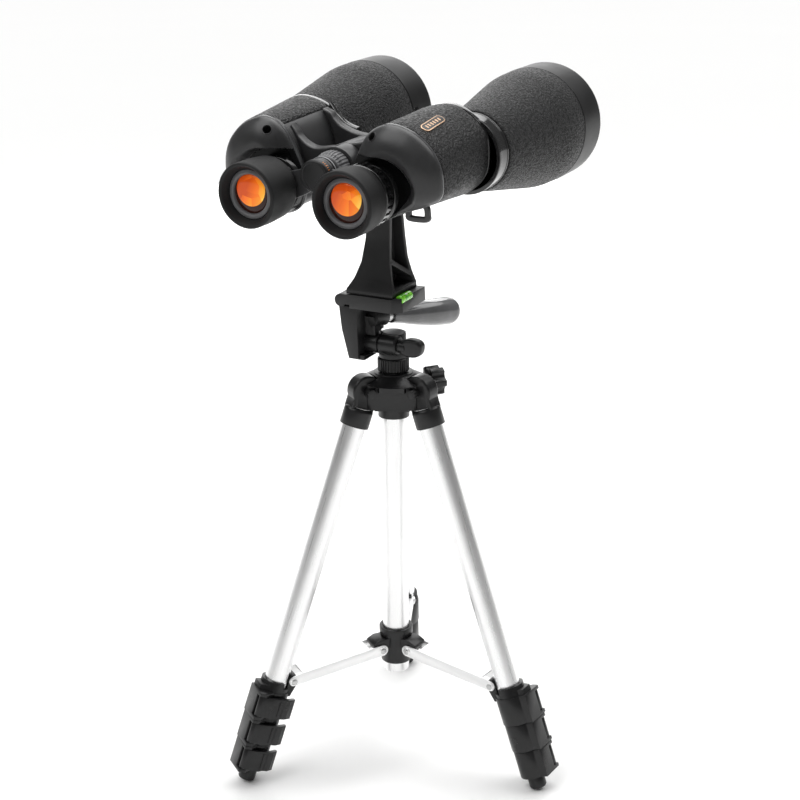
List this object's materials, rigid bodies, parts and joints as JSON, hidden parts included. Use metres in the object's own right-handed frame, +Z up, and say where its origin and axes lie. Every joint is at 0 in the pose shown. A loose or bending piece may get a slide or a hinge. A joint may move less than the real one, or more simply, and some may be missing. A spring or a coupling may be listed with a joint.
{
  "type": "astronomy binoculars",
  "caption": "Large Porro-prism astronomy binoculars with centre focus, held by an L-adapter on a pan-and-tilt head and a small folding tripod with collapsed legs.",
  "frame": {"origin": "on the floor, under the middle of the whole object's box", "axes": "+Y the horizontal direction in which the binoculars look, +X to the observer's right, +Z up"},
  "size_m": [0.2352, 0.2386, 0.4909],
  "materials": {
    "black_plastic": "moulded satin",
    "adapter_plastic": "moulded satin",
    "wheel_plastic": "satin",
    "black_metal": "satin paint",
    "grip_plastic": "glossy",
    "steel": "satin",
    "tube_aluminium": "satin anodised",
    "sheet_aluminium": "matt",
    "leatherette_housing": "pebbled leatherette over a smooth casting",
    "leatherette_barrel": "black, pebbled leatherette",
    "eyecup_rubber": "matt",
    "lens_glass": "orange coated",
    "vial": "clear green"
  },
  "bodies": {
    "shoulder": {"shoulder": "black_plastic", "centre_tube": "tube_aluminium", "tube_plug": "tube_aluminium"},
    "column": {"column_tube": "tube_aluminium", "column_collar": "black_plastic"},
    "column_knob": {"column_knob": "black_plastic"},
    "hub": {"spreader_hub": "black_plastic"},
    "rear_leg": {"rear_leg_knuckle": "black_plastic", "rear_leg_tube": "tube_aluminium", "rear_leg_collar": "black_plastic"},
    "rear_leg_section_2": {"rear_leg_section_2": "black_plastic"},
    "rear_leg_section_3": {"rear_leg_section_3": "black_plastic"},
    "rear_leg_section_4": {"rear_leg_section_4": "black_plastic"},
    "rear_leg_lever_1": {"rear_leg_lever_1": "black_plastic"},
    "rear_leg_lever_2": {"rear_leg_lever_2": "black_plastic"},
    "rear_leg_lever_3": {"rear_leg_lever_3": "black_plastic"},
    "rear_brace": {"rear_brace": "sheet_aluminium"},
    "left_leg": {"left_leg_knuckle": "black_plastic", "left_leg_tube": "tube_aluminium", "left_leg_collar": "black_plastic"},
    "left_leg_section_2": {"left_leg_section_2": "black_plastic"},
    "left_leg_section_3": {"left_leg_section_3": "black_plastic"},
    "left_leg_section_4": {"left_leg_section_4": "black_plastic"},
    "left_leg_lever_1": {"left_leg_lever_1": "black_plastic"},
    "left_leg_lever_2": {"left_leg_lever_2": "black_plastic"},
    "left_leg_lever_3": {"left_leg_lever_3": "black_plastic"},
    "left_brace": {"left_brace": "sheet_aluminium"},
    "right_leg": {"right_leg_knuckle": "black_plastic", "right_leg_tube": "tube_aluminium", "right_leg_collar": "black_plastic"},
    "right_leg_section_2": {"right_leg_section_2": "black_plastic"},
    "right_leg_section_3": {"right_leg_section_3": "black_plastic"},
    "right_leg_section_4": {"right_leg_section_4": "black_plastic"},
    "right_leg_lever_1": {"right_leg_lever_1": "black_plastic"},
    "right_leg_lever_2": {"right_leg_lever_2": "black_plastic"},
    "right_leg_lever_3": {"right_leg_lever_3": "black_plastic"},
    "right_brace": {"right_brace": "sheet_aluminium"},
    "pan": {"pan_block": "black_plastic"},
    "tilt": {"tilt_arm": "black_plastic", "handle_rod": "steel"},
    "tilt_wing": {"tilt_wing": "black_plastic"},
    "grip": {"handle_grip": "grip_plastic"},
    "platform": {"platform": "black_plastic", "level_vial": "vial", "adapter": "adapter_plastic", "hinge_axle": "black_metal"},
    "adapter_screw": {"adapter_screw": "adapter_plastic"},
    "left_half": {"left_housing": "leatherette_housing", "left_barrel": "leatherette_barrel", "left_objective_lens": "lens_glass"},
    "left_eyepiece": {"left_eyepiece": "eyecup_rubber", "left_eye_lens": "lens_glass"},
    "right_half": {"right_housing": "leatherette_housing", "right_barrel": "leatherette_barrel", "right_objective_lens": "lens_glass"},
    "right_eyepiece": {"right_eyepiece": "eyecup_rubber", "right_eye_lens": "lens_glass"},
    "diopter_ring": {"diopter_ring": "wheel_plastic"},
    "focus_wheel": {"focus_wheel": "wheel_plastic"},
    "eye_bridge": {"eye_bridge": "wheel_plastic"}
  },
  "joints": [
    {"name": "column_lift", "type": "slide", "parent": "shoulder", "child": "column", "axis": [0, 0, 1], "range_m": [0, 0.16]},
    {"name": "column_knob_turn", "type": "hinge", "parent": "shoulder", "child": "column_knob", "pos_m": [0.00357, 0.0248, 0.277], "axis": [0.5577, 0.83, 0], "range_deg": [-180, 180]},
    {"name": "hub_slide", "type": "slide", "parent": "shoulder", "child": "hub", "axis": [0, 0, 1], "range_m": [0, 0.02515]},
    {"name": "rear_leg_fold", "type": "hinge", "parent": "shoulder", "child": "rear_leg", "pos_m": [-0.02284, 0.01965, 0.278], "axis": [-0.898, -0.4399, 0], "range_deg": [0, 2.5]},
    {"name": "rear_brace_swing", "type": "hinge", "parent": "hub", "child": "rear_brace", "pos_m": [-0.01954, 0.01292, 0.0804], "axis": [-0.898, -0.4399, 0], "range_deg": [0, 23.96]},
    {"name": "rear_leg_extend_2", "type": "slide", "parent": "rear_leg", "child": "rear_leg_section_2", "axis": [-0.1476, 0.3012, -0.9421], "range_m": [0, 0.165]},
    {"name": "rear_leg_extend_3", "type": "slide", "parent": "rear_leg_section_2", "child": "rear_leg_section_3", "axis": [-0.1476, 0.3012, -0.9421], "range_m": [0, 0.165]},
    {"name": "rear_leg_extend_4", "type": "slide", "parent": "rear_leg_section_3", "child": "rear_leg_section_4", "axis": [-0.1476, 0.3012, -0.9421], "range_m": [0, 0.16]},
    {"name": "rear_leg_lever_1_flip", "type": "hinge", "parent": "rear_leg", "child": "rear_leg_lever_1", "pos_m": [-0.07157, 0.09502, 0.0623], "axis": [-0.1476, 0.3012, -0.9421], "range_deg": [0, 100]},
    {"name": "rear_leg_lever_2_flip", "type": "hinge", "parent": "rear_leg_section_2", "child": "rear_leg_lever_2", "pos_m": [-0.07379, 0.10092, 0.04288], "axis": [-0.1476, 0.3012, -0.9421], "range_deg": [0, 100]},
    {"name": "rear_leg_lever_3_flip", "type": "hinge", "parent": "rear_leg_section_3", "child": "rear_leg_lever_3", "pos_m": [-0.07601, 0.10683, 0.02346], "axis": [-0.1476, 0.3012, -0.9421], "range_deg": [0, 100]},
    {"name": "left_leg_fold", "type": "hinge", "parent": "shoulder", "child": "left_leg", "pos_m": [-0.02543, -0.01836, 0.278], "axis": [0.83, -0.5577, 0], "range_deg": [0, 2.5]},
    {"name": "left_brace_swing", "type": "hinge", "parent": "hub", "child": "left_brace", "pos_m": [-0.02125, -0.01214, 0.0804], "axis": [0.83, -0.5577, 0], "range_deg": [0, 23.96]},
    {"name": "left_leg_extend_2", "type": "slide", "parent": "left_leg", "child": "left_leg_section_2", "axis": [-0.1871, -0.2784, -0.9421], "range_m": [0, 0.165]},
    {"name": "left_leg_extend_3", "type": "slide", "parent": "left_leg_section_2", "child": "left_leg_section_3", "axis": [-0.1871, -0.2784, -0.9421], "range_m": [0, 0.165]},
    {"name": "left_leg_extend_4", "type": "slide", "parent": "left_leg_section_3", "child": "left_leg_section_4", "axis": [-0.1871, -0.2784, -0.9421], "range_m": [0, 0.16]},
    {"name": "left_leg_lever_1_flip", "type": "hinge", "parent": "left_leg", "child": "left_leg_lever_1", "pos_m": [-0.06634, -0.09825, 0.0623], "axis": [-0.1871, -0.2784, -0.9421], "range_deg": [0, 100]},
    {"name": "left_leg_lever_2_flip", "type": "hinge", "parent": "left_leg_section_2", "child": "left_leg_lever_2", "pos_m": [-0.07034, -0.10312, 0.04288], "axis": [-0.1871, -0.2784, -0.9421], "range_deg": [0, 100]},
    {"name": "left_leg_lever_3_flip", "type": "hinge", "parent": "left_leg_section_3", "child": "left_leg_lever_3", "pos_m": [-0.07434, -0.108, 0.02346], "axis": [-0.1871, -0.2784, -0.9421], "range_deg": [0, 100]},
    {"name": "right_leg_fold", "type": "hinge", "parent": "shoulder", "child": "right_leg", "pos_m": [0.00879, -0.0016, 0.278], "axis": [0.068, 0.9977, 0], "range_deg": [0, 2.5]},
    {"name": "right_brace_swing", "type": "hinge", "parent": "hub", "child": "right_brace", "pos_m": [0.0013, -0.00109, 0.0804], "axis": [0.068, 0.9977, 0], "range_deg": [0, 23.96]},
    {"name": "right_leg_extend_2", "type": "slide", "parent": "right_leg", "child": "right_leg_section_2", "axis": [0.3347, -0.0228, -0.9421], "range_m": [0, 0.165]},
    {"name": "right_leg_extend_3", "type": "slide", "parent": "right_leg_section_2", "child": "right_leg_section_3", "axis": [0.3347, -0.0228, -0.9421], "range_m": [0, 0.165]},
    {"name": "right_leg_extend_4", "type": "slide", "parent": "right_leg_section_3", "child": "right_leg_section_4", "axis": [0.3347, -0.0228, -0.9421], "range_m": [0, 0.16]},
    {"name": "right_leg_lever_1_flip", "type": "hinge", "parent": "right_leg", "child": "right_leg_lever_1", "pos_m": [0.09842, 0.00291, 0.0623], "axis": [0.3347, -0.0228, -0.9421], "range_deg": [0, 100]},
    {"name": "right_leg_lever_2_flip", "type": "hinge", "parent": "right_leg_section_2", "child": "right_leg_lever_2", "pos_m": [0.10465, 0.00189, 0.04288], "axis": [0.3347, -0.0228, -0.9421], "range_deg": [0, 100]},
    {"name": "right_leg_lever_3_flip", "type": "hinge", "parent": "right_leg_section_3", "child": "right_leg_lever_3", "pos_m": [0.11087, 0.00086, 0.02346], "axis": [0.3347, -0.0228, -0.9421], "range_deg": [0, 100]},
    {"name": "pan_turn", "type": "hinge", "parent": "column", "child": "pan", "pos_m": [-0.01316, -0.00011, 0.3], "axis": [0, 0, 1], "continuous": true},
    {"name": "tilt_turn", "type": "hinge", "parent": "pan", "child": "tilt", "pos_m": [-0.01316, -0.0081, 0.3095], "axis": [1, 0, 0], "range_deg": [-12, 60]},
    {"name": "wing_turn", "type": "hinge", "parent": "pan", "child": "tilt_wing", "pos_m": [0.00684, -0.0081, 0.3095], "axis": [1, 0, 0], "range_deg": [-180, 180]},
    {"name": "grip_twist", "type": "hinge", "parent": "tilt", "child": "grip", "pos_m": [-0.02216, -0.00418, 0.32678], "axis": [0.2162, 0.9667, -0.1367], "range_deg": [-180, 180]},
    {"name": "side_flip", "type": "hinge", "parent": "tilt", "child": "platform", "pos_m": [-0.03716, -0.01023, 0.34333], "axis": [0, -0.998, -0.0628], "range_deg": [0, 90]},
    {"name": "adapter_screw_turn", "type": "hinge", "parent": "platform", "child": "adapter_screw", "pos_m": [-0.01316, -0.0004, 0.44184], "axis": [0, 0.998, 0.0628], "continuous": true},
    {"name": "right_half_fold", "type": "hinge", "parent": "platform", "child": "right_half", "pos_m": [-0.01316, -0.05878, 0.43817], "axis": [0, 0.998, 0.0628], "range_deg": [-8, 22]},
    {"name": "left_half_fold", "type": "hinge", "parent": "platform", "child": "left_half", "pos_m": [-0.01316, -0.05878, 0.43817], "axis": [0, 0.998, 0.0628], "range_deg": [-22, 8]},
    {"name": "bridge_slide", "type": "slide", "parent": "platform", "child": "eye_bridge", "axis": [0, 0.998, 0.0628], "range_m": [-0.0034, 0.0014]},
    {"name": "focus_turn", "type": "hinge", "parent": "platform", "child": "focus_wheel", "pos_m": [-0.01316, -0.06976, 0.43748], "axis": [0, 0.998, 0.0628], "range_deg": [-243.51, 100.27]},
    {"name": "left_eyepiece_slide", "type": "slide", "parent": "left_half", "child": "left_eyepiece", "axis": [0, 0.998, 0.0628], "range_m": [-0.0034, 0.0014]},
    {"name": "right_eyepiece_slide", "type": "slide", "parent": "right_half", "child": "right_eyepiece", "axis": [0, 0.998, 0.0628], "range_m": [-0.0034, 0.0014]},
    {"name": "diopter_turn", "type": "hinge", "parent": "right_eyepiece", "child": "diopter_ring", "pos_m": [0.02079, -0.09415, 0.42693], "axis": [0, 0.998, 0.0628], "range_deg": [-60, 60]}
  ],
  "couplings": [
    {"joint": "rear_brace_swing", "follows": "rear_leg_fold", "ratio": 9.5774},
    {"joint": "left_leg_fold", "follows": "rear_leg_fold", "ratio": 1},
    {"joint": "left_brace_swing", "follows": "rear_leg_fold", "ratio": 9.5774},
    {"joint": "right_leg_fold", "follows": "rear_leg_fold", "ratio": 1},
    {"joint": "right_brace_swing", "follows": "rear_leg_fold", "ratio": 9.5774},
    {"joint": "hub_slide", "follows": "rear_leg_fold", "m_per_rad": 0.57598},
    {"joint": "left_half_fold", "follows": "right_half_fold", "ratio": -1},
    {"joint": "focus_turn", "follows": "bridge_slide", "rad_per_m": 1250},
    {"joint": "left_eyepiece_slide", "follows": "bridge_slide", "ratio": 1},
    {"joint": "right_eyepiece_slide", "follows": "bridge_slide", "ratio": 1}
  ]
}
